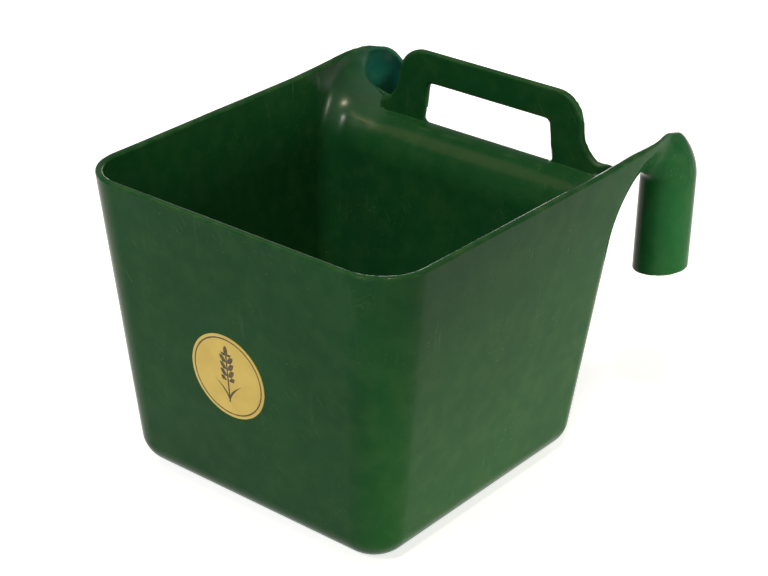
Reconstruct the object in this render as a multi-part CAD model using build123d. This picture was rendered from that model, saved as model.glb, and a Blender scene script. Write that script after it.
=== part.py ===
"""Hook-over feed bucket: a tapered tub with two hollow hanging hooks, a carry handle and a round label.

Lengths are in millimetres. The origin is the centre of the base's underside, +X is right,
-Y is the front wall, +Y is the rail side and +Z is up.
"""
import os
from math import cos, pi, radians, sin, sqrt, tan

from build123d import *

# Tub
RIM_FRONT_WIDTH = 320.0
RIM_REAR_WIDTH = 330.0
RIM_DEPTH = 316.0
RIM_HEIGHT = 266.0
WALL_LEAN_DEG = 5.6
WALL = 6.5
FLOOR_THICKNESS = 6.5
FRONT_CORNER_AT_RIM = 43.0
FRONT_CORNER_AT_BASE = 30.0
REAR_CORNER = 24.0
BASE_EDGE_RADIUS = 23.0
RIM_EDGE_RADIUS = 2.2

# Back wall's bend over the rail: it turns out tightly behind the handle and widely over the hooks
BEND_DROP = 15.25
BEND_RADIUS_MIDDLE = 34.0
BEND_RADIUS_SIDE = 64.0
BEND_MIDDLE_INSET = 7.5
BEND_SIDE_INSET = 7.0

# Hanging hooks
HOOK_INSET = 15.0
HOOK_SETBACK = 75.2
HOOK_RADIUS_TOP = 23.7
HOOK_RADIUS_END = 23.4
HOOK_LENGTH = 130.5
HOOK_END_TILT_DEG = 8.0
HOOK_CROWN_RADIUS = 45.0
HOOK_CROWN_BOW = 50.0
HOOK_HOOD_REACH = 15.7
HOOK_CHANNEL_TUCK = 0.7
HOOK_INNER_CORNER = 10.0

# Carry handle
PLATE_SETBACK = 24.5
HANDLE_RISE = 28.5
HANDLE_TAPER = 5.7
HANDLE_CORNER = 24.0
HANDLE_FOOT_FILLET = 20.0
SADDLE_WEB = 3.0
SADDLE_WIDTH = 23.5
SADDLE_TO_CHANNEL = 4.0
SADDLE_FILLET = 8.0
HOOK_RIM_INSET = 6.0
HOOK_RIM_FILLET = 9.0
SHOULDER_OUTSET = 1.0
SHOULDER_FALL_DEG = 60.0
SHOULDER_FILLET = 4.0
POST_WIDTH_TOP = 30.3
POST_WIDTH_FOOT = 30.5
GRIP_HEIGHT = 28.5
SLOT_SILL = 4.4
SLOT_CORNER = 4.0

# Label
LABEL_DIAMETER = 75.5
LABEL_THICKNESS = 0.4
LABEL_X = -9.0
LABEL_HEIGHT = 129.0

# Where the moulding is divided into its named regions
FLOOR_SPLIT_HEIGHT = 26.0
HOOK_SPLIT_BEFORE_RIM = 38.0
HOOK_SPLIT_INSET = 7.0
HOOK_SPLIT_BEHIND_PLATE = 12.5

# Room that cutting tools are given past the material
REACH = 400.0
OVERRUN = 40.0

LEAN_ANGLE = radians(WALL_LEAN_DEG)
LEAN = tan(LEAN_ANGLE)
PLATE_REAR_Y = RIM_DEPTH / 2 + PLATE_SETBACK
PLATE_FRONT_Y = PLATE_REAR_Y - WALL
HANDLE_TOP = RIM_HEIGHT + HANDLE_RISE
HOOK_END_HEIGHT = RIM_HEIGHT - HOOK_LENGTH
BEND_HEIGHT = RIM_HEIGHT - BEND_DROP - BEND_RADIUS_SIDE * (1 - sin(LEAN_ANGLE))
BACK_WALL_Y = RIM_DEPTH / 2 - (RIM_HEIGHT - BEND_HEIGHT) * LEAN
HOOK_CENTRE_X = RIM_REAR_WIDTH / 2 - HOOK_INSET
HOOK_CENTRE_Y = RIM_DEPTH / 2 + HOOK_SETBACK
HOOK_HOOD_FRONT_Y = HOOK_CENTRE_Y - HOOK_HOOD_REACH
CROWN_Y = HOOK_CENTRE_Y + HOOK_RADIUS_TOP - HOOK_CROWN_RADIUS
CROWN_Z = RIM_HEIGHT - HOOK_CROWN_RADIUS
CHANNEL_X = HOOK_CENTRE_X - HOOK_RADIUS_TOP + HOOK_CHANNEL_TUCK
SADDLE_END_X = CHANNEL_X - SADDLE_TO_CHANNEL
HANDLE_FOOT_HALF_WIDTH = SADDLE_END_X - SADDLE_WIDTH
HANDLE_TOP_HALF_WIDTH = HANDLE_FOOT_HALF_WIDTH - HANDLE_TAPER
BEND_MIDDLE_HALF_WIDTH = HANDLE_FOOT_HALF_WIDTH - BEND_MIDDLE_INSET
BEND_SIDE_HALF_WIDTH = HOOK_CENTRE_X - BEND_SIDE_INSET
HOOK_FRONT_Y = RIM_DEPTH / 2 - HOOK_SPLIT_BEFORE_RIM
HOOK_SPLIT_X = SADDLE_END_X - HOOK_SPLIT_INSET
HOOK_SPLIT_Y = PLATE_REAR_Y + HOOK_SPLIT_BEHIND_PLATE
CEILING = HANDLE_TOP + OVERRUN


def lean_at(z):
    """Set-in of a wall at a height, counted from the rim."""
    return (RIM_HEIGHT - z) * LEAN


def side_x(y, z):
    """Half width of the outside at a depth and height."""
    along = (y + RIM_DEPTH / 2) / RIM_DEPTH
    return RIM_FRONT_WIDTH / 2 + (RIM_REAR_WIDTH - RIM_FRONT_WIDTH) / 2 * along - lean_at(z)


def block_between(low, high):
    """Box between two corner points."""
    size = [b - a for a, b in zip(low, high)]
    return Pos(*low) * Box(*size, align=(Align.MIN, Align.MIN, Align.MIN))


def tub_section(z, inset):
    """Rounded plan section of the tub, or of its hollow when set in by the wall."""
    half_y = RIM_DEPTH / 2 - lean_at(z) - inset
    front_x = RIM_FRONT_WIDTH / 2 - lean_at(z) - inset
    rear_x = RIM_REAR_WIDTH / 2 - lean_at(z) - inset
    front_r = FRONT_CORNER_AT_BASE + (FRONT_CORNER_AT_RIM - FRONT_CORNER_AT_BASE) * z / RIM_HEIGHT
    corners = [(-front_x, -half_y), (front_x, -half_y), (rear_x, half_y), (-rear_x, half_y)]
    face = make_face(Polyline(*corners, close=True))
    face = fillet(face.vertices().group_by(Axis.Y)[0], front_r - inset)
    face = fillet(face.vertices().group_by(Axis.Y)[-1], REAR_CORNER - inset)
    return Pos(0, 0, z) * face


def tub(inset, low, high):
    """Tapered tub body with a rounded base edge."""
    body = loft([tub_section(low, inset), tub_section(high, inset)], ruled=True)
    return fillet(body.faces().sort_by(Axis.Z)[0].edges(), BASE_EDGE_RADIUS - inset)


def bend_centre(radius):
    """Depth and height of the centre of a bend that starts at the back wall's upper end."""
    return BACK_WALL_Y + radius * cos(LEAN_ANGLE), BEND_HEIGHT - radius * sin(LEAN_ANGLE)


def bend_underside(x, y):
    """Height of the bend's underside at a width and a depth."""
    outwards = (x - BEND_MIDDLE_HALF_WIDTH) / (BEND_SIDE_HALF_WIDTH - BEND_MIDDLE_HALF_WIDTH)
    radius = BEND_RADIUS_MIDDLE + (BEND_RADIUS_SIDE - BEND_RADIUS_MIDDLE) * max(0, outwards)
    centre_y, centre_z = bend_centre(radius)
    before_level = max(0, centre_y - y)
    return centre_z + sqrt(radius * radius - before_level * before_level)


def bend_section(x, radius, inset):
    """Space under the bend at one width, with the rail's side open."""
    r = radius + inset
    centre_y, centre_z = bend_centre(radius)
    midway = (LEAN_ANGLE + pi / 2) / 2
    start = (x, centre_y - r * cos(LEAN_ANGLE), centre_z + r * sin(LEAN_ANGLE))
    middle = (x, centre_y - r * cos(midway), centre_z + r * sin(midway))
    level = (x, centre_y, centre_z + r)
    far = (x, REACH, centre_z + r)
    far_low = (x, REACH, start[2] - OVERRUN)
    low = (x, start[1] - OVERRUN * LEAN, start[2] - OVERRUN)
    return make_face([ThreePointArc(start, middle, level), Polyline(level, far, far_low, low, start)])


def bend_space(inset):
    """Space under the bend, over the whole width."""
    sections = [
        bend_section(-REACH, BEND_RADIUS_SIDE, inset),
        bend_section(-BEND_SIDE_HALF_WIDTH, BEND_RADIUS_SIDE, inset),
        bend_section(-BEND_MIDDLE_HALF_WIDTH, BEND_RADIUS_MIDDLE, inset),
        bend_section(BEND_MIDDLE_HALF_WIDTH, BEND_RADIUS_MIDDLE, inset),
        bend_section(BEND_SIDE_HALF_WIDTH, BEND_RADIUS_SIDE, inset),
        bend_section(REACH, BEND_RADIUS_SIDE, inset),
    ]
    return loft(sections, ruled=True)


def wedge_section(z, front_y, inset):
    """Plan section of the upper rear block, which runs on from the side walls."""
    front_x = side_x(front_y, z) - inset
    rear_x = side_x(HOOK_CENTRE_Y, z) - inset
    corners = [(-front_x, front_y), (front_x, front_y), (rear_x, HOOK_CENTRE_Y), (-rear_x, HOOK_CENTRE_Y)]
    return Pos(0, 0, z) * make_face(Polyline(*corners, close=True))


def behind_plate(inset):
    """Open space behind the handle and between the hooks."""
    half_x = CHANNEL_X + inset
    plan = Pos(0, PLATE_REAR_Y - inset + REACH / 2) * Rectangle(2 * half_x, REACH)
    plan = fillet(plan.vertices().group_by(Axis.Y)[0], HOOK_INNER_CORNER + inset)
    return extrude(plan, CEILING)


def upper_rear(inset):
    """Block over the rail: the bend's top, the handle's plate and the channels into the hooks."""
    low_z = BEND_HEIGHT - OVERRUN / 2
    front_y = HOOK_FRONT_Y - OVERRUN - inset
    block = loft([wedge_section(low_z, front_y, inset), wedge_section(CEILING, front_y, inset)], ruled=True)
    block = block - extrude(bend_section(0, BEND_RADIUS_SIDE, inset), REACH, dir=(1, 0, 0), both=True)
    level = BEND_HEIGHT + BEND_RADIUS_SIDE + inset
    lower = [e for e in block.edges() if abs(e.center().X) > BEND_MIDDLE_HALF_WIDTH]
    lower = [e for e in lower if low_z + WALL < e.bounding_box().max.Z < level + WALL]
    block = fillet(lower, REAR_CORNER - inset)
    half_x = BEND_SIDE_HALF_WIDTH
    sides = block - block_between((-half_x, -REACH, 0), (half_x, REACH, CEILING + OVERRUN))
    middle = block_between((-half_x, front_y, low_z), (half_x, HOOK_CENTRE_Y, CEILING)) - bend_space(inset)
    return sides + middle - behind_plate(inset)


def hook_shaft(side, inset, end):
    """Tapered shaft of a hook, or its bore when set in by the wall."""
    taper = (HOOK_RADIUS_TOP - HOOK_RADIUS_END) / (RIM_HEIGHT - HOOK_END_HEIGHT)
    low_r = HOOK_RADIUS_END + (end - HOOK_END_HEIGHT) * taper - inset
    high_r = HOOK_RADIUS_END + (CEILING - HOOK_END_HEIGHT) * taper - inset
    shaft = Cone(low_r, high_r, CEILING - end, align=(Align.CENTER, Align.CENTER, Align.MIN))
    return Pos(side * HOOK_CENTRE_X, HOOK_CENTRE_Y, end) * shaft


def hook_end_cut(side):
    """Space below a hook's slanted lower end."""
    place = Pos(side * HOOK_CENTRE_X, HOOK_CENTRE_Y, HOOK_END_HEIGHT)
    near = Box(2 * OVERRUN, 2 * OVERRUN, OVERRUN, align=(Align.CENTER, Align.CENTER, Align.MAX))
    return place * Rot(0, -side * HOOK_END_TILT_DEG, 0) * near


def crown_space(side, inset, front_y):
    """Space above and behind one hook's rounded crown."""
    r = HOOK_CROWN_RADIUS - inset
    bow = HOOK_CROWN_BOW - inset
    half_x = HOOK_RADIUS_TOP - inset + WALL / 2
    edge_r = r - bow + sqrt(bow * bow - half_x * half_x)
    rim = ThreePointArc((-half_x, edge_r), (0, r), (half_x, edge_r))
    base = Polyline((half_x, edge_r), (half_x, 0), (-half_x, 0), (-half_x, edge_r))
    crown = revolve(make_face([rim, base]), Axis.X)
    space = block_between((-half_x, front_y - CROWN_Y, 0), (half_x, REACH, CEILING))
    return Pos(side * HOOK_CENTRE_X, CROWN_Y, CROWN_Z) * (space - crown)


def top_outline():
    """Space below the rim of the rear side, as seen from the front."""
    saddle = bend_underside(SADDLE_END_X, PLATE_REAR_Y) + SADDLE_WEB
    shoulder_x = RIM_REAR_WIDTH / 2 + SHOULDER_OUTSET
    end_x = shoulder_x + HOOK_RADIUS_TOP
    end_z = RIM_HEIGHT - HOOK_RADIUS_TOP * tan(radians(SHOULDER_FALL_DEG))
    half = FilletPolyline(
        (0, HANDLE_TOP),
        (HANDLE_TOP_HALF_WIDTH, HANDLE_TOP),
        (HANDLE_FOOT_HALF_WIDTH, saddle),
        (SADDLE_END_X, saddle),
        (RIM_REAR_WIDTH / 2 - HOOK_RIM_INSET, RIM_HEIGHT),
        (shoulder_x, RIM_HEIGHT),
        (end_x, end_z),
        radius=[HANDLE_CORNER, HANDLE_FOOT_FILLET, SADDLE_FILLET, HOOK_RIM_FILLET, SHOULDER_FILLET],
    )
    closing = Polyline((end_x, end_z), (end_x, 0), (0, 0), (0, HANDLE_TOP))
    right = Plane.XZ * make_face([half, closing])
    rear = extrude(right, REACH, dir=(0, 1, 0))
    rear = rear + mirror(rear, Plane.YZ)
    front = Box(2 * REACH, REACH, RIM_HEIGHT, align=(Align.CENTER, Align.MAX, Align.MIN))
    return front + rear


def hand_slot():
    """Opening for the fingers through the handle, cut with a wall's room before and behind it."""
    low_z = bend_underside(0, PLATE_REAR_Y) + SLOT_SILL
    high_z = HANDLE_TOP - GRIP_HEIGHT
    low_x = HANDLE_FOOT_HALF_WIDTH - POST_WIDTH_FOOT
    high_x = HANDLE_TOP_HALF_WIDTH - POST_WIDTH_TOP
    corners = [
        (-low_x, low_z),
        (low_x, low_z),
        (high_x, high_z),
        (-high_x, high_z),
    ]
    face = make_face(Polyline(*corners, close=True))
    face = fillet(face.vertices(), SLOT_CORNER)
    return extrude(Pos(0, PLATE_FRONT_Y - WALL, 0) * (Plane.XZ * face), 3 * WALL, dir=(0, 1, 0))


def tub_shell():
    """Walls and floor of the tub."""
    return tub(0, 0, RIM_HEIGHT) - tub(WALL, FLOOR_THICKNESS, RIM_HEIGHT + OVERRUN)


def rear_shell():
    """Bend, handle plate and hooks: the outer form less the inner form."""
    outer = upper_rear(0)
    inner = upper_rear(WALL)
    for side in (-1, 1):
        outer = outer + (hook_shaft(side, 0, HOOK_END_HEIGHT - HOOK_RADIUS_END) - hook_end_cut(side))
        outer = outer - crown_space(side, 0, CROWN_Y)
        inner = inner + hook_shaft(side, WALL, HOOK_END_HEIGHT - OVERRUN)
        inner = inner - crown_space(side, WALL, HOOK_HOOD_FRONT_Y)
    return (outer & top_outline()) - inner - hand_slot()


def plan_wedge(apex_y, way):
    """Quarter of the plan that holds the front or the rear wall, up to the corners' middles."""
    corners = [(0, apex_y), (-REACH, apex_y + way * REACH), (REACH, apex_y + way * REACH)]
    return extrude(make_face(Polyline(*corners, close=True)), CEILING)


def tub_regions():
    """Named regions of the tub's shell, which meet face to face."""
    front = plan_wedge((RIM_FRONT_WIDTH - RIM_DEPTH) / 2, -1)
    rear = plan_wedge((RIM_DEPTH - RIM_REAR_WIDTH) / 2, 1)
    floor = block_between((-REACH, -REACH, 0), (REACH, REACH, FLOOR_SPLIT_HEIGHT))
    above = block_between((-REACH, -REACH, FLOOR_SPLIT_HEIGHT), (REACH, REACH, CEILING))
    back = block_between((-REACH, 0, FLOOR_SPLIT_HEIGHT), (REACH, REACH, BEND_HEIGHT))
    corner = block_between((-REACH, HOOK_FRONT_Y, BEND_HEIGHT), (REACH, REACH, CEILING))
    sides = above - front - rear - corner
    return {
        "floor_pan": floor,
        "front_wall": front & above,
        "left_wall": sides & block_between((-REACH, -REACH, 0), (0, REACH, CEILING)),
        "right_wall": sides & block_between((0, -REACH, 0), (REACH, REACH, CEILING)),
        "back_wall": rear & back,
    }


def rear_regions():
    """Named regions of the rear shell, which meet face to face."""
    middle = block_between((-HOOK_SPLIT_X, HOOK_FRONT_Y, BEND_HEIGHT), (HOOK_SPLIT_X, PLATE_FRONT_Y, CEILING))
    plate = block_between((-HOOK_SPLIT_X, PLATE_FRONT_Y, 0), (HOOK_SPLIT_X, REACH, CEILING))
    beside = block_between((HOOK_SPLIT_X, HOOK_FRONT_Y, BEND_HEIGHT), (REACH, HOOK_SPLIT_Y, CEILING))
    shaft = block_between((HOOK_SPLIT_X, HOOK_SPLIT_Y, 0), (REACH, REACH, CEILING))
    return {
        "rear_ledge": middle,
        "carry_handle": plate,
        "right_hook": beside + shaft,
    }


def round_rim(wall):
    """Wall with its two long edges rounded at the rim."""
    top = wall.faces().sort_by(Axis.Z)[-1]
    return fillet([e for e in top.edges() if e.length > 2 * WALL], RIM_EDGE_RADIUS)


def label():
    """Round label on the front wall."""
    wall_y = -RIM_DEPTH / 2 + lean_at(LABEL_HEIGHT)
    outwards = (0, -cos(LEAN_ANGLE), -sin(LEAN_ANGLE))
    face = Plane((LABEL_X, wall_y, LABEL_HEIGHT), x_dir=(1, 0, 0), z_dir=outwards)
    return extrude(face * Circle(LABEL_DIAMETER / 2), LABEL_THICKNESS)


os.makedirs("parts", exist_ok=True)
tub_walls = tub_shell()
rear_walls = rear_shell()
pieces = {name: tub_walls & region for name, region in tub_regions().items()}
for name in ("front_wall", "left_wall", "right_wall"):
    pieces[name] = round_rim(pieces[name])
pieces |= {name: rear_walls & region for name, region in rear_regions().items()}
pieces["left_hook"] = mirror(pieces["right_hook"], Plane.YZ)
pieces["front_label"] = label()
for name, piece in pieces.items():
    export_step(piece, f"parts/{name}.step")
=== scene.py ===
"""Hook-over feed bucket dressed for its picture: one green moulding and a round label in a pale studio.

Sizes of the pieces are in millimetres in the CAD frame, and Blender's objects are in metres.
"""
import logging
import math
from dataclasses import dataclass
from enum import Enum
from typing import Callable, NamedTuple, Union

import bmesh
import bpy
import numpy as np
from mathutils import Color, Matrix, Vector


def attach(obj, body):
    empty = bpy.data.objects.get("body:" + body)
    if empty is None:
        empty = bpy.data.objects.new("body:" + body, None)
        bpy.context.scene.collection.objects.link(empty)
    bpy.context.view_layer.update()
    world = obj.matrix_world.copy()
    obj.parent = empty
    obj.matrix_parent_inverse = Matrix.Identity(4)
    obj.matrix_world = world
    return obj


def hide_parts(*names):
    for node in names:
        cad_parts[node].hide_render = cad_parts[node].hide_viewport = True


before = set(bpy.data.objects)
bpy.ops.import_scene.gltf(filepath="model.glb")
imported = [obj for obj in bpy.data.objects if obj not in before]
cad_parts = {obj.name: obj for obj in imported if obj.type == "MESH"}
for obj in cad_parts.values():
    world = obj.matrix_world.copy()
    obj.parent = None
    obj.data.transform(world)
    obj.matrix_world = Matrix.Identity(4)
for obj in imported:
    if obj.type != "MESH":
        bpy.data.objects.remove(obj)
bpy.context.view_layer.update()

MM = 0.001
SCREEN_WHITE = 255
BODY = "root"
LABEL_NODE = "front_label"
LOG = logging.getLogger("feed_bucket")

Array = np.ndarray
Triple = tuple[float, float, float]
Colour = Triple
Pair = tuple[float, float]
Distance = Callable[[Array], Array]
Value = Union["Tone", float]


class Mark(Enum):
    """Marks on the moulding's points that its finish reads."""

    EDGE_WEAR = "edge_wear"
    PAINTED_COOL_LIGHT = "hollow"
    POLISH = "polish"


class MaterialSlot(Enum):
    """The record's material slots."""

    GREEN_PLASTIC = "green_plastic"
    LABEL_FILM = "label_film"


class Places(NamedTuple):
    """Coordinates of points: across the bucket, to its rear and up."""

    x: Array
    y: Array
    z: Array

    @property
    def side(self) -> Array:
        """Distance to either side of the bucket's middle."""
        return np.abs(self.x)


def from_srgb(*levels: int) -> Colour:
    """Linear colour, as shaders read it, of an 8-bit screen colour."""
    return tuple(Color([level / SCREEN_WHITE for level in levels]).from_srgb_to_scene_linear())


def round_max(first: Array, second: Array, radius: Union[float, Array]) -> Array:
    """Common part of two solids with the edge between them rounded off.

    Args:
        first: Signed distances to one solid.
        second: Signed distances to the other.
        radius: Radius of the rounded edge.

    Returns:
        Signed distances to the common part.
    """
    over_first = np.maximum(first + radius, 0)
    over_second = np.maximum(second + radius, 0)
    return np.minimum(np.maximum(first, second), -radius) + np.hypot(over_first, over_second)


def round_min(first: Array, second: Array, radius: Union[float, Array]) -> Array:
    """Two solids joined, with a fillet of this radius in the corner between them."""
    return -round_max(-first, -second, radius)


def ease(values: Array, low: float, high: float) -> Array:
    """Smooth rise from 0 at low to 1 at high."""
    share = np.clip((values - low) / (high - low), 0, 1)
    return share * share * (3 - 2 * share)


def blend(low: Union[float, Array], high: Union[float, Array], share: Array) -> Array:
    """Goes from low to high as the share goes from 0 to 1."""
    return low + (high - low) * share


def grid_lines(*runs: Triple) -> Array:
    """Grid lines over runs that follow each other, each given by its start, end and step."""
    parts = [np.linspace(low, high, round((high - low) / step), endpoint=False) for low, high, step in runs]
    return np.append(np.concatenate(parts), runs[-1][1])


def framed(place: Vector, *axes: Vector) -> Matrix:
    """Matrix of an object at a place, whose own three axes point these ways."""
    return Matrix.Translation(place) @ Matrix(axes).transposed().to_4x4()


def put_in_scene(name: str, data: bpy.types.ID) -> bpy.types.Object:
    """Makes an object and puts it in the scene.

    Args:
        name: The object's name.
        data: Its mesh, lamp or camera.

    Returns:
        The object.
    """
    made = bpy.data.objects.new(name, data)
    bpy.context.scene.collection.objects.link(made)
    return made


@dataclass
class SkinMesher:
    """Makes a mesh of even quads on the surface where a signed distance is zero."""

    lines: tuple[Array, Array, Array]
    relax_rounds: int = 5
    settle_rounds: int = 3
    relax_share: float = 0.5
    probe: float = 0.02
    least_steep: float = 0.1

    def sample(self, distance: Distance) -> Array:
        """Works out the distance on every grid point, one sheet of the grid at a time.

        Args:
            distance: Signed distance to the solid.

        Returns:
            The distances.
        """
        xs, ys, zs = self.lines
        sheet_y, sheet_z = np.meshgrid(ys, zs, indexing="ij")
        sheets = [np.stack([np.full_like(sheet_y, x), sheet_y, sheet_z], axis=-1) for x in xs]
        return np.stack([distance(sheet.reshape(-1, 3)).reshape(sheet_y.shape) for sheet in sheets])

    def places(self, index: Array) -> Array:
        """Points of grid indices."""
        return np.stack([self.lines[axis][index[:, axis]] for axis in range(3)], axis=-1)

    def cell_points(self, values: Array) -> tuple[Array, Array]:
        """One point in each cell that the surface passes through.

        Args:
            values: Distances on the grid points.

        Returns:
            The points, and the number of each cell's point.
        """
        inside = values < 0
        corners = [(i, j, k) for i in (0, 1) for j in (0, 1) for k in (0, 1)]
        edges = [(a, b) for a in corners for b in corners
                 if sum(b) - sum(a) == 1 and min(np.subtract(b, a)) == 0]
        held = np.zeros([size - 1 for size in inside.shape], np.int8)
        for i, j, k in corners:
            held += inside[i:, j:, k:][: held.shape[0], : held.shape[1], : held.shape[2]]
        crossed = (held > 0) & (held < len(corners))
        cells = np.argwhere(crossed)
        numbers = np.full(held.shape, -1)
        numbers[crossed] = np.arange(len(cells))
        total = np.zeros((len(cells), 3))
        hits = np.zeros((len(cells), 1))
        for a, b in edges:
            low, high = cells + a, cells + b
            at_low, at_high = values[tuple(low.T)], values[tuple(high.T)]
            cut = (at_low < 0) != (at_high < 0)
            share = (at_low[cut] / (at_low[cut] - at_high[cut]))[:, None]
            total[cut] += self.places(low[cut]) * (1 - share) + self.places(high[cut]) * share
            hits[cut] += 1
        return total / hits, numbers

    def quads(self, values: Array, numbers: Array) -> Array:
        """Quads round every grid edge that the surface crosses, wound to face outwards.

        Args:
            values: Distances on the grid points.
            numbers: Number of each cell's point.

        Returns:
            Four point numbers for each quad.
        """
        inside = values < 0
        made = []
        for axis in range(3):
            order = (axis, (axis + 1) % 3, (axis + 2) % 3)
            turned, cells = inside.transpose(order), numbers.transpose(order)
            near, far = turned[:-1, 1:-1, 1:-1], turned[1:, 1:-1, 1:-1]
            i, j, k = np.nonzero(near != far)
            around = (cells[i, j, k], cells[i, j + 1, k], cells[i, j + 1, k + 1], cells[i, j, k + 1])
            ring = np.stack(around, -1)
            made.append(np.where(near[i, j, k][:, None], ring, ring[:, ::-1]))
        return np.concatenate(made)

    def slope(self, distance: Distance, points: Array) -> Array:
        """Direction and rate in which the distance grows at each point."""
        steps = np.eye(3) * self.probe
        return np.stack([distance(points + s) - distance(points - s) for s in steps], -1) / (2 * self.probe)

    def normals(self, distance: Distance, points: Array) -> Array:
        """Outward direction of the surface at each point."""
        slope = self.slope(distance, points)
        return slope / np.linalg.norm(slope, axis=-1)[:, None]

    def settle(self, distance: Distance, points: Array) -> Array:
        """Brings points onto the surface along its slope.

        Args:
            distance: Signed distance to the solid.
            points: Points near its surface.

        Returns:
            Points on the surface.
        """
        for _ in range(self.settle_rounds):
            slope = self.slope(distance, points)
            steep = np.maximum((slope * slope).sum(-1), self.least_steep)
            points = points - (distance(points) / steep)[:, None] * slope
        return points

    def relax(self, points: Array, quads: Array, normals: Array) -> Array:
        """Evens points out along the surface between their neighbours.

        Args:
            points: Points on the surface.
            quads: Four point numbers for each quad.
            normals: Outward direction at each point.

        Returns:
            The moved points.
        """
        ends = np.concatenate([quads[:, [n, (n + 1) % 4]] for n in range(4)])
        count = np.bincount(ends[:, 0], minlength=len(points))[:, None]
        sums = [np.bincount(ends[:, 0], points[ends[:, 1], axis], len(points)) for axis in range(3)]
        move = np.stack(sums, -1) / count - points
        move -= (move * normals).sum(-1)[:, None] * normals
        return points + self.relax_share * move

    def skin(self, distance: Distance) -> tuple[Array, Array, Array]:
        """Surface of a solid.

        Args:
            distance: Signed distance to the solid.

        Returns:
            The points, the quads and the outward direction at each point.
        """
        values = self.sample(distance)
        points, numbers = self.cell_points(values)
        quads = self.quads(values, numbers)
        points = self.settle(distance, points)
        for _ in range(self.relax_rounds):
            points = self.settle(distance, self.relax(points, quads, self.normals(distance, points)))
        return points, quads, self.normals(distance, points)


class Tone:
    """A socket of a node tree, on which arithmetic adds Math nodes."""

    def __init__(self, sheet: "NodeSheet", socket: bpy.types.NodeSocket) -> None:
        """Holds a socket and the sheet that it is on."""
        self.sheet = sheet
        self.socket = socket

    def maths(self, operation: str, *values: Value) -> "Tone":
        """Result of a Math node on these values."""
        return self.sheet.node("ShaderNodeMath", {"operation": operation}, dict(enumerate(values)))

    def __add__(self, other: Value) -> "Tone":
        """Sum."""
        return self.maths("ADD", self, other)

    __radd__ = __add__

    def __sub__(self, other: Value) -> "Tone":
        """Difference."""
        return self.maths("SUBTRACT", self, other)

    def __rsub__(self, other: float) -> "Tone":
        """Difference from a number."""
        return self.maths("SUBTRACT", other, self)

    def __mul__(self, other: Value) -> "Tone":
        """Product."""
        return self.maths("MULTIPLY", self, other)

    __rmul__ = __mul__

    def __truediv__(self, other: Value) -> "Tone":
        """Quotient."""
        return self.maths("DIVIDE", self, other)

    def __rtruediv__(self, other: float) -> "Tone":
        """Quotient of a number by this."""
        return self.maths("DIVIDE", other, self)

    def __abs__(self) -> "Tone":
        """Size without its sign."""
        return self.maths("ABSOLUTE", self)

    def root(self) -> "Tone":
        """Square root."""
        return self.maths("SQRT", self)

    def largest(self, other: Value) -> "Tone":
        """Larger of two values."""
        return self.maths("MAXIMUM", self, other)

    def rest_of(self, step: float) -> "Tone":
        """What is left over within each step, from 0 to the step."""
        return self.maths("FLOORED_MODULO", self, step)

    def over(self, low: float, high: float) -> "Tone":
        """Rises smoothly between two values, or falls where high is below low.

        Args:
            low: Value that gives 0.
            high: Value that gives 1.

        Returns:
            The rise, from 0 to 1.
        """
        span = {"From Min": min(low, high), "From Max": max(low, high)}
        ends = {"To Min": float(low > high), "To Max": float(low < high)}
        sockets = {"Value": self, **span, **ends}
        return self.sheet.node("ShaderNodeMapRange", {"interpolation_type": "SMOOTHSTEP"}, sockets)

    def stretched(self, turn_deg: Triple, scale: Triple) -> "Tone":
        """Place turned about its axes, then scaled along them."""
        turned = self.sheet.node("ShaderNodeMapping", {},
                                 {"Vector": self, "Rotation": [math.radians(angle) for angle in turn_deg]})
        return self.sheet.node("ShaderNodeVectorMath", {"operation": "MULTIPLY"}, {0: turned, 1: scale})

    def parts(self) -> tuple["Tone", "Tone", "Tone"]:
        """The three coordinates of a place."""
        return tuple(self.sheet.node("ShaderNodeSeparateXYZ", {}, {"Vector": self}, axis) for axis in "XYZ")


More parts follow.
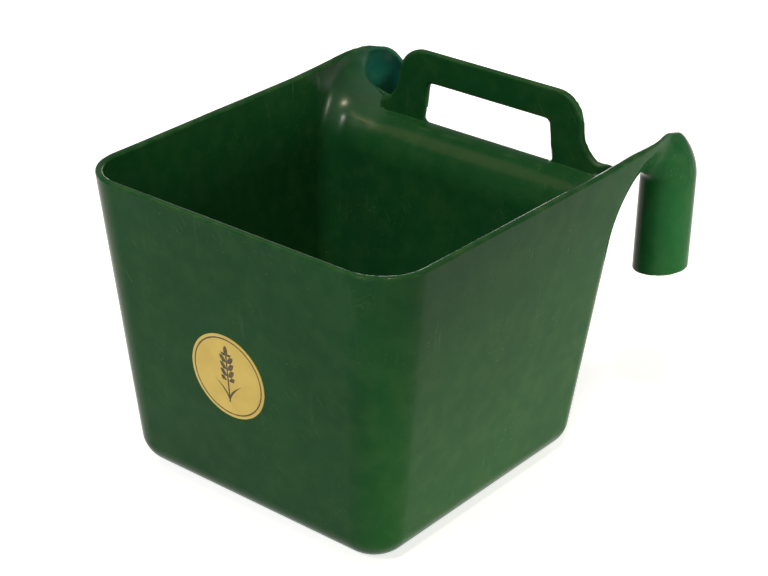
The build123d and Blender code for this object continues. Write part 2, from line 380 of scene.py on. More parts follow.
class NodeSheet:
    """A node tree that is filled from empty."""

    def __init__(self, owner: Union[bpy.types.Material, bpy.types.World]) -> None:
        """Clears the owner's node tree.

        Args:
            owner: The material or world.
        """
        owner.use_nodes = True
        self.tree = owner.node_tree
        self.tree.nodes.clear()

    def node(self, kind: str, settings: dict, sockets: dict, output: Union[int, str] = 0) -> Tone:
        """Adds one node.

        Args:
            kind: The node's type.
            settings: Its settings, which are set first.
            sockets: Values or links of its sockets, by name or number.
            output: The socket that is given back, by name or number.

        Returns:
            The node's output.
        """
        made = self.tree.nodes.new(kind)
        for name, value in settings.items():
            setattr(made, name, value)
        for key, value in sockets.items():
            if isinstance(value, Tone):
                self.tree.links.new(value.socket, made.inputs[key])
            else:
                made.inputs[key].default_value = value
        return Tone(self, made.outputs[output]) if made.outputs else Tone(self, made.inputs[0])

    def mix(self, factor: Tone, low: Union[Tone, Colour], high: Union[Tone, Colour]) -> Tone:
        """Colour laid on another.

        Args:
            factor: How much of the upper colour shows.
            low: The colour below.
            high: The colour on top.

        Returns:
            The mixed colour.
        """
        low, high = (value if isinstance(value, Tone) else (*value, 1.0) for value in (low, high))
        # A Mix node's colours are its inputs 6 and 7 and its output 2
        return self.node("ShaderNodeMix", {"data_type": "RGBA"}, {0: factor, 6: low, 7: high}, 2)

    def object_place(self) -> Tone:
        """Place on the object, in metres of its own frame."""
        return self.node("ShaderNodeTexCoord", {}, {}, "Object")

    def mark(self, mark: Mark) -> Tone:
        """A mark that the mesh carries on its points."""
        return self.node("ShaderNodeAttribute", {"attribute_name": mark.value}, {}, "Fac")

    def bump(self, strength: float, depth: float, height: Tone) -> Tone:
        """Surface direction over a fine relief of this depth in metres."""
        return self.node("ShaderNodeBump", {}, {"Strength": strength, "Distance": depth, "Height": height})

    def looked_at(self) -> Tone:
        """Tells looking at a thing from being lit by it.

        Returns:
            One where the camera, a mirror or clear stuff looks at it, nought where it gives light.
        """
        rays = ("Is Camera Ray", "Is Glossy Ray", "Is Transmission Ray")
        seen, mirrored, through = (self.node("ShaderNodeLightPath", {}, {}, ray) for ray in rays)
        return seen.largest(mirrored).largest(through)

    def surface(self, shader: Tone) -> None:
        """Sends a shader to the material's output."""
        self.node("ShaderNodeOutputMaterial", {}, {"Surface": shader})


@dataclass(frozen=True)
class Pattern:
    """Soft noise on a finish, and the values between which a mask made of it rises."""

    scale: float
    detail: float
    low: float = 0.0
    high: float = 1.0

    def noise(self, place: Tone) -> Tone:
        """The plain noise."""
        sockets = {"Vector": place, "Scale": self.scale, "Detail": self.detail}
        return place.sheet.node("ShaderNodeTexNoise", {}, sockets)

    def rise(self, noise: Tone) -> Tone:
        """Mask made of this pattern's noise."""
        return noise.over(self.low, self.high)

    def mask(self, place: Tone) -> Tone:
        """Mask at a place."""
        return self.rise(self.noise(place))


@dataclass(frozen=True)
class Streaks(Pattern):
    """A pattern read in a place that is turned and then scaled unevenly, so that it draws out."""

    turn_deg: Triple = (0.0, 0.0, 0.0)
    stretch: Triple = (1.0, 1.0, 1.0)

    def noise(self, place: Tone) -> Tone:
        """The noise, drawn out."""
        return super().noise(place.stretched(self.turn_deg, self.stretch))


@dataclass(frozen=True)
class GreenPlastic:
    """Satin moulded polyethylene, lightly scuffed and rubbed pale along its edges, with a painted cool teal
    light in the hook hollows.
    """

    name: str = "green_moulded_plastic"
    body: Colour = from_srgb(23, 75, 38)
    shade: Colour = from_srgb(20, 70, 35)
    rubbed: Colour = from_srgb(76, 110, 66)
    scuff: Colour = from_srgb(84, 110, 78)
    dust: Colour = from_srgb(150, 150, 118)
    # Painted cool light: a teal that stands in for bluish light reflected inside the hook hollows
    painted_cool_light: Colour = from_srgb(24, 92, 84)

    # Patterns of colour and wear
    clouds: Pattern = Pattern(11.0, 3.0, 0.3, 0.7)
    mottle: Pattern = Pattern(60.0, 4.0, 0.35, 0.75)
    patches: Pattern = Pattern(16.0, 2.0, 0.47, 0.66)
    drags: Streaks = Streaks(1.0, 3.0, 0.58, 0.76, stretch=(190.0, 190.0, 7.0))
    first_scores: Streaks = Streaks(1.0, 1.0, 0.68, 0.74, (0.0, 38.0, 12.0), (720.0, 720.0, 16.0))
    second_scores: Streaks = Streaks(1.0, 1.0, 0.70, 0.76, (24.0, -52.0, 0.0), (640.0, 640.0, 13.0))
    dusty: Pattern = Pattern(34.0, 1.0, 0.60, 0.64)
    fine_grain: Pattern = Pattern(1500.0, 2.0)
    coarse_grain: Pattern = Pattern(210.0, 2.0)
    specks_per_metre: float = 75.0
    speck_rise: Pair = (0.05, 0.02)
    edge_rise: Pair = (0.4, 0.7)

    # How far each pattern colours the plastic
    mottle_rubbed: float = 0.12
    drag_scuffed: float = 0.14
    score_scuffed: float = 0.26
    edge_rubbed: float = 0.06
    edge_mottled: float = 0.24
    speck_dusted: float = 0.6

    # Roughness, relief and polish
    roughness: float = 0.17
    cloud_rough: float = 0.06
    drag_rough: float = 0.12
    score_rough: float = 0.2
    speck_rough: float = 0.3
    edge_smooth: float = 0.04
    fine_height: float = 0.35
    coarse_height: float = 0.65
    score_depth: float = 0.8
    drag_depth: float = 0.25
    relief_strength: float = 0.09
    relief_depth: float = 0.0006
    refraction: float = 1.15
    polish: float = 0.95
    polish_mottled: float = 0.3
    polish_roughness: float = 0.3

    def material(self) -> bpy.types.Material:
        """Makes the finish.

        Returns:
            The material.
        """
        made = bpy.data.materials.new(self.name)
        sheet = NodeSheet(made)
        place = sheet.object_place()
        clouds = self.clouds.noise(place)
        mottle = self.mottle.noise(place)
        patches = self.patches.mask(place)
        drags = self.drags.mask(place) * patches
        scores = self.scores(place) * patches
        specks = self.specks(place)
        edges, hollow, shine = (sheet.mark(mark) for mark in (Mark.EDGE_WEAR, Mark.PAINTED_COOL_LIGHT, Mark.POLISH))
        layers = (
            # painted cool light, laid into the colour inside the hook hollows
            (hollow, self.painted_cool_light),
            (self.mottle.rise(mottle) * self.mottle_rubbed, self.rubbed),
            (drags * self.drag_scuffed, self.scuff),
            (scores * self.score_scuffed, self.scuff),
            (edges * (self.edge_rubbed + self.edge_mottled * mottle.over(*self.edge_rise)), self.rubbed),
            (specks * self.speck_dusted, self.dust),
        )
        colour = sheet.mix(self.clouds.rise(clouds), self.shade, self.body)
        for share, layer in layers:
            colour = sheet.mix(share, colour, layer)
        rough = self.roughness + self.cloud_rough * clouds + self.drag_rough * drags
        rough = rough + self.score_rough * scores + self.speck_rough * specks - self.edge_smooth * edges
        relief = self.grain(place) - self.score_depth * scores - self.drag_depth * drags
        bump = sheet.bump(self.relief_strength, self.relief_depth, relief)
        coat = shine * (self.polish - self.polish_mottled * mottle)
        varying = {"Base Color": colour, "Roughness": rough, "Coat Weight": coat, "Normal": bump}
        fixed = {"IOR": self.refraction, "Coat Roughness": self.polish_roughness}
        sheet.surface(sheet.node("ShaderNodeBsdfPrincipled", {}, {**varying, **fixed}))
        return made

    def scores(self, place: Tone) -> Tone:
        """Fine scratches in two slanting directions."""
        return self.first_scores.mask(place).largest(self.second_scores.mask(place))

    def specks(self, place: Tone) -> Tone:
        """Scattered grains of pale dust."""
        near = place.sheet.node("ShaderNodeTexVoronoi", {},
                                {"Vector": place, "Scale": self.specks_per_metre}, "Distance")
        return near.over(*self.speck_rise) * self.dusty.mask(place)

    def grain(self, place: Tone) -> Tone:
        """Height of the moulded grain."""
        fine, coarse = self.fine_grain.noise(place), self.coarse_grain.noise(place)
        return fine * self.fine_height + coarse * self.coarse_height


@dataclass(frozen=True)
class LabelFilm:
    """Straw-coloured film printed in dark brown with an ear of grain inside a thin ring."""

    name: str = "printed_label_film"
    straw: Colour = from_srgb(228, 200, 106)
    worn: Colour = from_srgb(204, 176, 90)
    ink: Colour = from_srgb(58, 46, 26)

    # Film and its wear
    paper: Pattern = Pattern(900.0, 3.0, 0.3, 0.6)
    stain: Pattern = Pattern(40.0, 3.0, 0.35, 0.7)
    rubs: Streaks = Streaks(1.0, 2.0, 0.64, 0.72, (0.0, 0.0, 40.0), (900.0, 26.0, 1.0))
    stain_worn: float = 0.45
    paper_worn: float = 0.15
    rub_ink_loss: float = 0.5
    paper_ink_loss: float = 0.18
    roughness: float = 0.42
    stain_rough: float = 0.12
    rub_rough: float = 0.1
    relief_strength: float = 0.06
    relief_depth: float = 0.0004
    gloss: float = 0.35

    # Print, in millimetres from the label's middle
    grain_step: float = 6.4
    grain_half_width: float = 2.1
    grain_half_length: float = 4.6
    grain_offset: float = 3.9
    grain_lean_deg: float = 34.0
    ear_low: float = -4.0
    ear_high: float = 21.6
    ear_fade: float = 0.1
    stem_low: float = -24.0
    stem_half_width: float = 0.7
    stem_foot_fade: float = 0.3
    stem_top_fade: float = 1.0
    leaf_height: float = 19.0
    leaf_reach: float = 14.0
    leaf_half_width: float = 1.15
    leaf_foot_fade: float = 0.5
    leaf_tip_share: float = 0.98
    ring_radius: float = 34.6
    ring_half_width: float = 0.55
    print_blur: float = 0.18

    def material(self) -> bpy.types.Material:
        """Makes the finish.

        Returns:
            The material.
        """
        made = bpy.data.materials.new(self.name)
        sheet = NodeSheet(made)
        place = sheet.object_place()
        paper = self.paper.noise(place)
        stain = self.stain.noise(place)
        rubs = self.rubs.mask(place)
        wear = self.stain.rise(stain) * self.stain_worn + paper * self.paper_worn
        paper_hold = 1 - self.paper_ink_loss + self.paper_ink_loss * self.paper.rise(paper)
        kept = (1 - self.rub_ink_loss * rubs) * paper_hold
        colour = sheet.mix(wear, self.straw, self.worn)
        colour = sheet.mix(self.motif(place) * kept, colour, self.ink)
        rough = self.roughness + self.stain_rough * stain + self.rub_rough * rubs
        bump = sheet.bump(self.relief_strength, self.relief_depth, paper + stain)
        sockets = {"Base Color": colour, "Roughness": rough, "Normal": bump, "Specular IOR Level": self.gloss}
        sheet.surface(sheet.node("ShaderNodeBsdfPrincipled", {}, sockets))
        return made

    def motif(self, place: Tone) -> Tone:
        """Where ink lies: the ear's grains, its stem, two leaves and the ring.

        Args:
            place: Place on the label, in metres from its middle.

        Returns:
            Ink from 0 to 1.
        """
        across, along, _ = place.parts()
        across, along = across / MM, along / MM
        radius = (across * across + along * along).root()
        ring_edge = self.ring_half_width + self.print_blur
        ring = abs(radius - self.ring_radius).over(ring_edge, self.ring_half_width)
        side = abs(across)
        step = along.rest_of(self.grain_step) - self.grain_step / 2
        above_foot = along.over(self.ear_low - self.print_blur, self.ear_low)
        below_tip = along.over(self.ear_high, self.ear_high - self.ear_fade)
        grains = self.oval(side - self.grain_offset, step, self.grain_lean_deg) * above_foot * below_tip
        tip = self.oval(across, along - self.ear_high - self.grain_half_length / 2, 0.0)
        stem = side.over(self.stem_half_width + self.print_blur, self.stem_half_width)
        stem = stem * along.over(self.stem_low, self.stem_low + self.stem_foot_fade)
        stem = stem * along.over(self.ear_high, self.ear_high - self.stem_top_fade)
        return ring.largest(grains).largest(tip).largest(stem).largest(self.leaves(across, along))

    def oval(self, across: Tone, along: Tone, lean_deg: float) -> Tone:
        """Ink of one leaning grain about the middle of these coordinates.

        Args:
            across: Place across the label.
            along: Place along the ear.
            lean_deg: How far the grain leans outwards.

        Returns:
            Ink from 0 to 1.
        """
        cos, sin = math.cos(math.radians(lean_deg)), math.sin(math.radians(lean_deg))
        wide = (across * cos - along * sin) / self.grain_half_width
        long = (across * sin + along * cos) / self.grain_half_length
        return (wide * wide + long * long).over(1.0 + self.print_blur, 1.0 - self.print_blur)

    def leaves(self, across: Tone, along: Tone) -> Tone:
        """Ink of two curved leaves at the foot of the stem.

        Args:
            across: Place across the label.
            along: Place along the stem.

        Returns:
            Ink from 0 to 1.
        """
        rise = (along - self.stem_low) / self.leaf_height
        middle = abs(across) - self.leaf_reach * rise * rise
        half_width = 4 * self.leaf_half_width * rise * (1 - rise)
        inside = (abs(middle) - half_width).over(self.print_blur, -self.print_blur)
        foot = along.over(self.stem_low, self.stem_low + self.leaf_foot_fade)
        return inside * foot * rise.over(1.0, self.leaf_tip_share)


@dataclass(frozen=True)
class PaleFloor:
    """Pale matt floor that the camera sees as white outside the shadow."""

    name: str = "pale_floor"
    colour: Colour = (0.8, 0.8, 0.79)
    near_glow: Colour = (0.74, 0.74, 0.74)
    far_glow: Colour = (1.0, 1.0, 1.0)
    near: float = 0.5
    far: float = 1.6

    def material(self) -> bpy.types.Material:
        """Makes the finish.

        Returns:
            The material.
        """
        made = bpy.data.materials.new(self.name)
        sheet = NodeSheet(made)
        away = sheet.node("ShaderNodeVectorMath", {"operation": "LENGTH"}, {0: sheet.object_place()}, "Value")
        plain = sheet.node("ShaderNodeBsdfDiffuse", {}, {"Color": (*self.colour, 1.0)})
        glow_colour = sheet.mix(away.over(self.near, self.far), self.near_glow, self.far_glow)
        glow = sheet.node("ShaderNodeEmission", {}, {"Color": glow_colour})
        white = sheet.node("ShaderNodeAddShader", {}, {0: plain, 1: glow})
        sheet.surface(sheet.node("ShaderNodeMixShader", {}, {"Fac": sheet.looked_at(), 1: plain, 2: white}))
        return made


@dataclass
class Moulding:
    """The whole green moulding: tub, bend over the rail, two hollow hooks and carry handle."""

    name: str = "bucket_moulding"

    # Tub
    rim_front_width: float = 320.0
    rim_rear_width: float = 330.0
    rim_depth: float = 316.0
    rim_height: float = 266.0
    lean_deg: float = 5.6
    wall: float = 6.5
    front_corner_at_rim: float = 43.0
    front_corner_at_base: float = 30.0
    rear_corner: float = 24.0
    base_edge: float = 23.0
    rim_edge: float = 2.5

    # Bend over the rail
    bend_height: float = 193.0
    bend_radius_middle: float = 34.0
    bend_radius_side: float = 64.0
    bend_middle_half_width: float = 106.0
    bend_side_half_width: float = 150.0

    # Hooks and the channels that lead to them
    hook_x: float = 151.3
    hook_y: float = 232.2
    hook_radius: float = 23.8
    hook_wall: float = 4.4
    hook_end: float = 135.5
    hook_end_tilt_deg: float = 8.0
    hook_end_edge: float = 1.6
    hook_start_y: float = 192.0
    far_inside: float = 1000.0
    mouth_x: float = 121.0
    mouth_y: float = 150.0
    mouth_radius: float = 25.5
    elbow_radius: float = 36.0
    elbow_level: float = 257.2
    crown_rise: float = 13.0
    crown_edge: float = 24.0
    crotch_fillet: float = 16.0
    channel_x: float = 119.0
    channel_corner: float = 10.0
    channel_end: float = 232.0
    channel_end_corner: float = 52.0

    # Handle plate, its hand slot and the saddles beside it
    plate_rear: float = 182.5
    plate_foot_edge: float = 6.0
    handle_top: float = 294.5
    handle_top_half_width: float = 94.3
    handle_foot_half_width: float = 100.5
    handle_corner: float = 24.0
    handle_foot_fillet: float = 27.0
    slot_top: float = 266.0
    slot_bottom: float = 228.0
    slot_top_half_width: float = 63.5
    slot_bottom_half_width: float = 69.0
    slot_corner: float = 4.0
    slot_edge: float = 2.0
    slot_front: float = 164.0
    saddle: float = 235.5
    saddle_end_x: float = 123.0
    saddle_fillet: float = 10.0

    # Rim along the hooks and the low lips of their mouths
    hook_rim_x: float = 157.2
    hook_rim_lift: float = 4.2
    hook_rim_start: float = 100.0
    hook_rim_top: float = 216.0
    hook_rim_fall: float = 5.0
    hook_rim_end: float = 262.0
    hook_rim_edge: float = 3.0
    lip_shift: float = 21.0
    lip_drop: float = 14.0
    lip_run: float = 24.0

    # How edge wear is read: reach in millimetres, then the turns that count as plain and as sharp
    wear_reach: float = 0.8
    wear_plain: float = 0.08
    wear_sharp: float = 0.34

    # Grid of the mesh
    fine: float = 1.9
    plain: float = 4.2
    margin: float = 6.0

    @property
    def lean(self) -> float:
        """Set-in of a wall for each millimetre of height."""
        return math.tan(math.radians(self.lean_deg))

    @property
    def upright(self) -> float:
        """Cosine of the walls' lean."""
        return math.cos(math.radians(self.lean_deg))

    def sides(self, at: Places) -> Array:
        """Distance outside the two side walls' outer faces."""
        width = blend(self.rim_front_width, self.rim_rear_width, at.y / self.rim_depth + 1 / 2)
        return (at.side - width / 2 + (self.rim_height - at.z) * self.lean) * self.upright

    def bend(self, at: Places) -> Array:
        """Distance behind the back wall and below the bend that carries it over the rail.

        Args:
            at: Where it is read.

        Returns:
            The distances.
        """
        lean_sin = math.sin(math.radians(self.lean_deg))
        wide = ease(at.side, self.bend_middle_half_width, self.bend_side_half_width)
        radius = blend(self.bend_radius_middle, self.bend_radius_side, wide)
        wall_y = self.rim_depth / 2 - (self.rim_height - self.bend_height) * self.lean
        back = at.y - wall_y - radius * self.upright
        above = at.z - self.bend_height + radius * lean_sin
        wall = (at.y - wall_y) * self.upright - (at.z - self.bend_height) * lean_sin
        level = radius - above
        arc = radius - np.hypot(back, above)
        below_arc = back * lean_sin + above * self.upright < 0
        past_arc = np.minimum(level, np.where(below_arc, wall, level))
        return np.where(back > 0, past_arc, np.where(below_arc, wall, arc))

    def tub(self, at: Places) -> Array:
        """Outer form of the tub and of the channels that run over the rail.

        Args:
            at: Where it is read.

        Returns:
            Signed distances.
        """
        front = (-at.y - self.rim_depth / 2 + (self.rim_height - at.z) * self.lean) * self.upright
        share = np.clip(at.z / self.rim_height, 0, 1)
        front_corner = blend(self.front_corner_at_base, self.front_corner_at_rim, share)
        corner = np.where(at.y < 0, front_corner, self.rear_corner)
        plan = round_max(self.sides(at), np.maximum(front, self.bend(at)), corner)
        body = round_max(plan, -at.z, self.base_edge)
        return round_max(body, at.y - self.channel_end, self.channel_end_corner)

    def hook(self, at: Places) -> Array:
        """Outer form of the hooks: pipes that leave the ledge level, turn down and narrow into shafts.

        Args:
            at: Where it is read.

        Returns:
            Signed distances.
        """
        back = at.y - self.hook_y + self.elbow_radius
        above = at.z - self.elbow_level + self.elbow_radius
        bent_back, bent_above = np.maximum(back, 0), np.maximum(above, 0)
        level_run = self.hook_y - self.elbow_radius - self.mouth_y
        run = level_run + np.minimum(back, 0) + self.elbow_radius * np.arctan2(bent_back, bent_above)
        share = ease(run, 0, level_run + self.elbow_radius * math.pi / 2)
        across = at.side - blend(self.mouth_x, self.hook_x, share)
        radius = blend(self.mouth_radius, self.hook_radius, share)
        pipe = np.hypot(np.hypot(bent_back, bent_above) - self.elbow_radius, across) - radius
        pipe = round_max(pipe, at.z - self.rim_height - self.crown_rise, self.crown_edge)
        return np.maximum(pipe, self.mouth_y - at.y)

    def outside(self, at: Places) -> Array:
        """Outer form of tub and hooks together, with the open air between the hooks cut out of it."""
        air = round_max(at.side - self.channel_x, self.plate_rear - at.y, self.channel_corner)
        return round_max(round_min(self.tub(at), self.hook(at), self.crotch_fillet),
                         -air, self.plate_foot_edge)

    def thickness(self, at: Places) -> Array:
        """Wall thickness, which lessens towards the hooks."""
        outwards = ease(at.side, self.channel_x - self.wall, self.channel_x + self.wall)
        return blend(self.wall, self.hook_wall, ease(at.y, self.rim_depth / 2, self.hook_start_y) * outwards)

    def handle(self, at: Places) -> Array:
        """Distance outside the handle's outline, seen from the front."""
        half = blend(self.handle_top_half_width, self.handle_foot_half_width,
                     (self.handle_top - at.z) / (self.handle_top - self.saddle))
        return round_max(at.side - half, at.z - self.handle_top, self.handle_corner)

    def top(self, at: Places) -> Array:
        """Distance above the rim, which rises behind to the handle and the hooks.

        Args:
            at: Where it is read.

        Returns:
            The distances.
        """
        lift = self.hook_rim_lift * ease(at.y, self.hook_rim_start, self.hook_rim_top)
        fall = self.hook_rim_fall * ease(at.y, self.hook_rim_top, self.hook_rim_end)
        level = at.z - self.rim_height - lift + fall
        past = ease(at.y, self.plate_rear, self.plate_rear + self.lip_run)
        low_x = self.saddle_end_x + self.lip_shift * past
        climb = np.arctan2(self.rim_height - self.saddle, self.hook_rim_x - low_x)
        slope = (at.z - self.saddle) * np.cos(climb) - (at.side - low_x) * np.sin(climb)
        rear = round_min(at.z - self.saddle + self.lip_drop * past, slope, self.saddle_fillet)
        rear = round_max(rear, level, self.hook_rim_edge)
        rear = round_min(rear, self.handle(at), self.handle_foot_fillet)
        behind = ease(at.y, self.rim_depth / 2 - self.rear_corner / 2, self.plate_rear - self.wall)
        return blend(level, rear, behind)

    def slot(self, at: Places) -> Array:
        """Distance to the hand slot through the handle.

        Args:
            at: Where it is read.

        Returns:
            Distances, negative in the slot.
        """
        share = (at.z - self.slot_bottom) / (self.slot_top - self.slot_bottom)
        half = blend(self.slot_bottom_half_width, self.slot_top_half_width, share)
        middle = (self.slot_top + self.slot_bottom) / 2
        tall = np.abs(at.z - middle) - (self.slot_top - self.slot_bottom) / 2
        return np.maximum(round_max(at.side - half, tall, self.slot_corner), self.slot_front - at.y)

    def hook_ends(self, at: Places) -> Array:
        """Distance below the hooks' slanted ends.

        Args:
            at: Where it is read.

        Returns:
            The distances, far inside in front of the hooks.
        """
        tilt = math.radians(self.hook_end_tilt_deg)
        below = (self.hook_end - at.z) * math.cos(tilt) + (at.side - self.hook_x) * math.sin(tilt)
        return np.where(at.y > self.hook_start_y, below, -self.far_inside)

    def distance(self, points: Array) -> Array:
        """Signed distance to the moulding.

        Args:
            points: Points in millimetres.

        Returns:
            Distances, negative in the plastic.
        """
        at = Places(*points.T)
        half = self.thickness(at) / 2
        skin = np.abs(self.outside(at) + half) - half
        skin = round_max(skin, self.top(at), self.rim_edge)
        skin = round_max(skin, self.hook_ends(at), self.hook_end_edge)
        return round_max(skin, -self.slot(at), self.slot_edge)

    def inner_face(self, at: Places) -> Array:
        """One on the inner face of the plastic, nought on the outer face."""
        return ease(-self.outside(at), 0, self.hook_wall)

    def hollow(self, points: Array) -> Array:
        """How far points lie inside a hook's hollow, where a cool teal light is painted into the plastic's
        colour.
        """
        at = Places(*points.T)
        return (self.inner_face(at) * ease(at.y, self.plate_rear, self.channel_end)
                * ease(at.z, self.bend_height, self.saddle))

    def polish(self, points: Array) -> Array:
        """How much hands and feed have polished the inner corners beside the ledge.

        Args:
            points: Points on the surface.

        Returns:
            Shares from 0 to 1.
        """
        at = Places(*points.T)
        corner = ease(at.side, self.mouth_x - self.mouth_radius, self.mouth_x)
        behind = ease(at.y, self.mouth_y - self.mouth_radius, self.mouth_y)
        before_hook = 1 - ease(at.y, self.plate_rear, self.hook_y)
        height = ease(at.z, self.bend_height, self.saddle) * (1 - ease(at.z, self.saddle, self.rim_height))
        return self.inner_face(at) * corner * behind * before_hook * height

    def edge_wear(self, points: Array) -> Array:
        """How sharply the surface turns outwards, which is where hands and rails rub it.

        Args:
            points: Points on the surface.

        Returns:
            Wear from 0 to 1.
        """
        steps = np.eye(3) * self.wear_reach
        round_about = sum(self.distance(points + s) + self.distance(points - s) for s in steps)
        turn = (round_about - 2 * len(steps) * self.distance(points)) / self.wear_reach ** 2
        return ease(turn, self.wear_plain, self.wear_sharp)

    def grid(self) -> tuple[Array, Array, Array]:
        """Lays grid lines close where walls, hooks and handle are and wide across plain faces.

        Returns:
            The lines across, to the rear and up.
        """
        half = self.hook_x + self.hook_radius + self.margin
        inner = self.rim_front_width / 2 - (self.rim_height * self.lean + 2 * self.margin)
        rear = self.hook_y + self.hook_radius + self.margin
        depth = self.rim_depth / 2
        wall = depth - (self.rim_height * self.lean + self.margin)
        bend = self.bend_height - 2 * self.margin
        hook_low, hook_high = self.hook_end - 2 * self.margin, self.hook_end + 2 * self.margin
        xs = grid_lines((-half, -inner, self.fine), (-inner, inner, self.plain), (inner, half, self.fine))
        ys = grid_lines((-depth - self.margin, -wall, self.fine), (-wall, wall, self.plain),
                        (wall, rear, self.fine))
        zs = grid_lines((-self.margin, self.base_edge, self.fine), (self.base_edge, hook_low, self.plain),
                        (hook_low, hook_high, self.fine), (hook_high, bend, self.plain),
                        (bend, self.handle_top + self.margin, self.fine))
        return xs, ys, zs

    def build(self, finish: GreenPlastic) -> bpy.types.Object:
        """Builds the moulding as one seamless mesh and dresses it.

        Args:
            finish: The plastic.

        Returns:
            The moulding.
        """
        points, quads, normals = SkinMesher(self.grid()).skin(self.distance)
        mesh = bpy.data.meshes.new(self.name)
        mesh.from_pydata((points * MM).tolist(), [], quads.tolist())
        mesh.polygons.foreach_set("use_smooth", np.ones(len(quads), bool))
        marks = {Mark.EDGE_WEAR: self.edge_wear, Mark.PAINTED_COOL_LIGHT: self.hollow, Mark.POLISH: self.polish}
        for mark, read in marks.items():
            attribute = mesh.attributes.new(mark.value, "FLOAT", "POINT")
            attribute.data.foreach_set("value", read(points).astype(np.float32))
        mesh.normals_split_custom_set_from_vertices(normals.tolist())
        mesh.materials.append(finish.material())
        return put_in_scene(self.name, mesh)


@dataclass
class Label:
    """Round film label on the front wall."""

    moulding: Moulding
    name: str = "round_label"
    diameter: float = 75.5
    thickness: float = 0.4
    edge: float = 0.3
    x: float = -9.0
    height: float = 129.0
    segments: int = 128
    rings: int = 14
    edge_rings: int = 3
    sharp_deg: float = 50.0

    def placed(self) -> Matrix:
        """Finds where the label's middle sits, with its own Z out of the wall.

        Returns:
            The label's place and axes.
        """
        lean = math.radians(self.moulding.lean_deg)
        set_in = (self.moulding.rim_height - self.height) * self.moulding.lean
        out = Vector((0, -math.cos(lean), -math.sin(lean)))
        right = Vector((1, 0, 0))
        middle = Vector((self.x, set_in - self.moulding.rim_depth / 2, self.height)) * MM
        return framed(middle, right, out.cross(right), out)

    def profile(self) -> list[Pair]:
        """Follows the label's section from the middle over the rounded edge to the wall.

        Returns:
            Radius and height of each ring.
        """
        flat_radius = self.diameter / 2 - self.edge
        flat_height = self.thickness - self.edge
        flat = [(flat_radius * n / self.rings, self.thickness) for n in range(1, self.rings + 1)]
        turns = [math.pi / 2 * n / self.edge_rings for n in range(1, self.edge_rings + 1)]
        rolled = [(flat_radius + self.edge * math.sin(a), flat_height + self.edge * math.cos(a))
                  for a in turns]
        return flat + rolled + [(self.diameter / 2, 0.0)]

    def build(self, finish: LabelFilm) -> bpy.types.Object:
        """Builds the label as a thin disc with a rolled edge and dresses it.

        Args:
            finish: The printed film.

        Returns:
            The label.
        """
        shape = bmesh.new()
        turns = [math.tau * n / self.segments for n in range(self.segments)]
        middle = shape.verts.new((0, 0, self.thickness * MM))
        rings = [[shape.verts.new((r * math.cos(t) * MM, r * math.sin(t) * MM, h * MM)) for t in turns]
                 for r, h in self.profile()]
        for n in range(self.segments):
            after = (n + 1) % self.segments
            shape.faces.new((middle, rings[0][n], rings[0][after]))
            for inner, outer in zip(rings, rings[1:]):
                shape.faces.new((inner[n], outer[n], outer[after], inner[after]))
        shape.faces.new(rings[-1][::-1])
        mesh = bpy.data.meshes.new(self.name)
        shape.to_mesh(mesh)
        shape.free()
        mesh.shade_smooth()
        mesh.set_sharp_from_angle(angle=math.radians(self.sharp_deg))
        mesh.materials.append(finish.material())
        made = put_in_scene(self.name, mesh)
        made.matrix_world = self.placed()
        return made


@dataclass(frozen=True)
class Softbox:
    """A flat lamp that gives soft light."""

    name: str
    place: Triple
    aim: Triple
    size: Pair
    power: float
    colour: Colour
    spread_deg: float = 180.0

    def build(self) -> None:
        """Hangs the lamp and turns it to its aim."""
        light = bpy.data.lights.new(self.name, "AREA")
        light.shape = "RECTANGLE"
        light.size, light.size_y = self.size
        light.energy = self.power
        light.spread = math.radians(self.spread_deg)
        light.color = self.colour
        made = put_in_scene(self.name, light)
        made.location = self.place
        made.visible_camera = False
        made.rotation_euler = (Vector(self.aim) - Vector(self.place)).to_track_quat("-Z", "Y").to_euler()


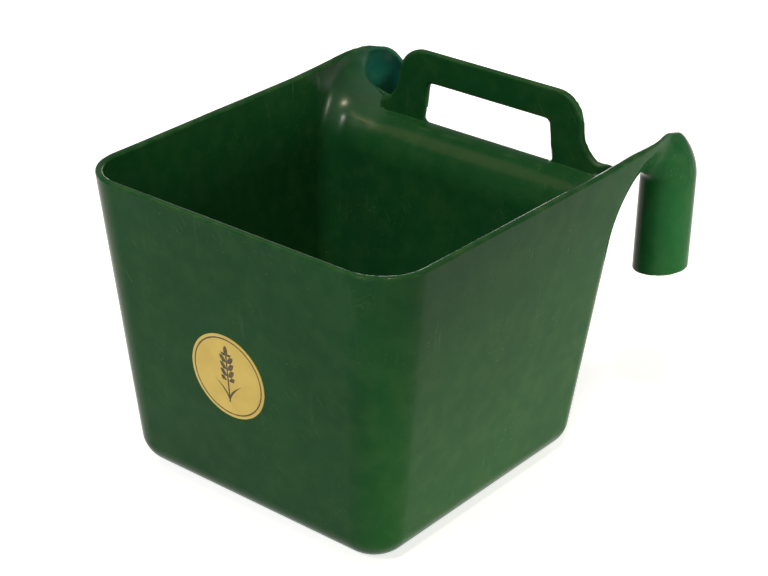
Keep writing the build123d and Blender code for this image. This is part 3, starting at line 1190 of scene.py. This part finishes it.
@dataclass
class Studio:
    """Pale floor, soft lamps, plain pale surroundings and the camera, all in metres."""

    floor_half: float = 9.0
    floor_squares: int = 24
    ambient: float = 0.14
    seen_grey: float = 0.42
    lens: float = 90.69
    sensor: float = 36.0
    camera_place: Triple = (0.8938, -1.10073, 0.87642)
    camera_right: Triple = (0.7806, 0.6248, 0.0187)
    camera_back: Triple = (0.5501, -0.7009, 0.4540)
    lamps: tuple[Softbox, ...] = (
        Softbox("key_softbox", place=(-0.15, -1.85, 1.6), aim=(0.0, 0.0, 0.12),
                size=(0.4, 0.4), power=16.0, colour=(1.0, 0.98, 0.94)),
        Softbox("low_front_softbox", place=(0.1, -1.6, 0.16), aim=(0.0, -0.1, 0.13),
                size=(1.2, 0.26), power=3.2, colour=(1.0, 0.98, 0.95)),
        Softbox("side_softbox", place=(1.6, 0.5, 0.4), aim=(0.16, 0.3, 0.18),
                size=(0.5, 0.4), power=0.5, colour=(1.0, 0.9, 0.76), spread_deg=30.0),
        Softbox("hook_softbox", place=(1.3, -0.6, 0.5), aim=(0.18, 0.27, 0.18),
                size=(0.1, 0.1), power=0.09, colour=(1.0, 0.95, 0.95), spread_deg=12.0),
        Softbox("low_side_softbox", place=(1.5, 0.2, 0.06), aim=(0.14, 0.05, 0.02),
                size=(1.2, 0.1), power=1.1, colour=(1.0, 0.75, 0.35), spread_deg=24.0),
        Softbox("rear_softbox", place=(-0.9, 1.7, 0.35), aim=(0.0, 0.15, 0.15),
                size=(1.2, 0.4), power=8.0, colour=(1.0, 0.98, 0.95)),
        Softbox("left_top_softbox", place=(-0.8, -0.3, 1.4), aim=(0.0, 0.15, 0.22),
                size=(0.6, 0.6), power=4.0, colour=(1.0, 0.78, 0.45)),
        Softbox("right_top_lamp", place=(0.46, -0.2, 1.5), aim=(0.0, 0.1, 0.2),
                size=(0.1, 0.2), power=7.0, colour=(1.0, 0.88, 0.62)),
    )

    def floor(self, finish: PaleFloor) -> None:
        """Lays the floor under the bucket.

        Args:
            finish: The floor's finish.
        """
        shape = bmesh.new()
        count = self.floor_squares
        bmesh.ops.create_grid(shape, x_segments=count, y_segments=count, size=self.floor_half)
        mesh = bpy.data.meshes.new("studio_floor")
        shape.to_mesh(mesh)
        shape.free()
        mesh.materials.append(finish.material())
        made = put_in_scene("studio_floor", mesh)

    def surroundings(self) -> None:
        """Sets a soft grey light all round that is paler where it is looked at or mirrored."""
        world = bpy.data.worlds.new("studio_world")
        bpy.context.scene.world = world
        sheet = NodeSheet(world)
        white = (1.0, 1.0, 1.0, 1.0)
        soft, pale = (sheet.node("ShaderNodeBackground", {}, {"Color": white, "Strength": level})
                      for level in (self.ambient, self.seen_grey))
        both = sheet.node("ShaderNodeMixShader", {}, {"Fac": sheet.looked_at(), 1: soft, 2: pale})
        sheet.node("ShaderNodeOutputWorld", {}, {"Surface": both})

    def camera(self) -> None:
        """Sets up the camera at the photograph's angle."""
        data = bpy.data.cameras.new("portrait_camera")
        data.lens = self.lens
        data.sensor_width = self.sensor
        made = put_in_scene("portrait_camera", data)
        back = Vector(self.camera_back).normalized()
        up = back.cross(Vector(self.camera_right)).normalized()
        made.matrix_world = framed(Vector(self.camera_place), up.cross(back), up, back)
        bpy.context.scene.camera = made

    def build(self, finish: PaleFloor) -> None:
        """Sets up everything round the bucket.

        Args:
            finish: The floor's finish.
        """
        bpy.context.scene.view_settings.view_transform = "Standard"
        self.floor(finish)
        self.surroundings()
        self.camera()
        for lamp in self.lamps:
            lamp.build()


def settle_in(piece: bpy.types.Object, slot: str, *nodes: str) -> None:
    """Lets a piece stand for CAD nodes.

    Args:
        piece: The piece.
        slot: The record's material slot; not used.
        *nodes: The nodes that it stands for.
    """
    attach(piece, BODY)
    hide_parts(*nodes)
    LOG.info("%s stands for %s with %d faces", piece.name, ", ".join(nodes), len(piece.data.polygons))


def main() -> None:
    """Builds the studio, the moulding and its label."""
    logging.basicConfig(level=logging.INFO, format="%(name)s: %(message)s")
    Studio().build(PaleFloor())
    moulding = Moulding()
    plastic_nodes = sorted(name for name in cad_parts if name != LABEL_NODE)
    settle_in(moulding.build(GreenPlastic()), MaterialSlot.GREEN_PLASTIC.value, *plastic_nodes)
    settle_in(Label(moulding).build(LabelFilm()), MaterialSlot.LABEL_FILM.value, LABEL_NODE)


if __name__ == "__main__":
    main()
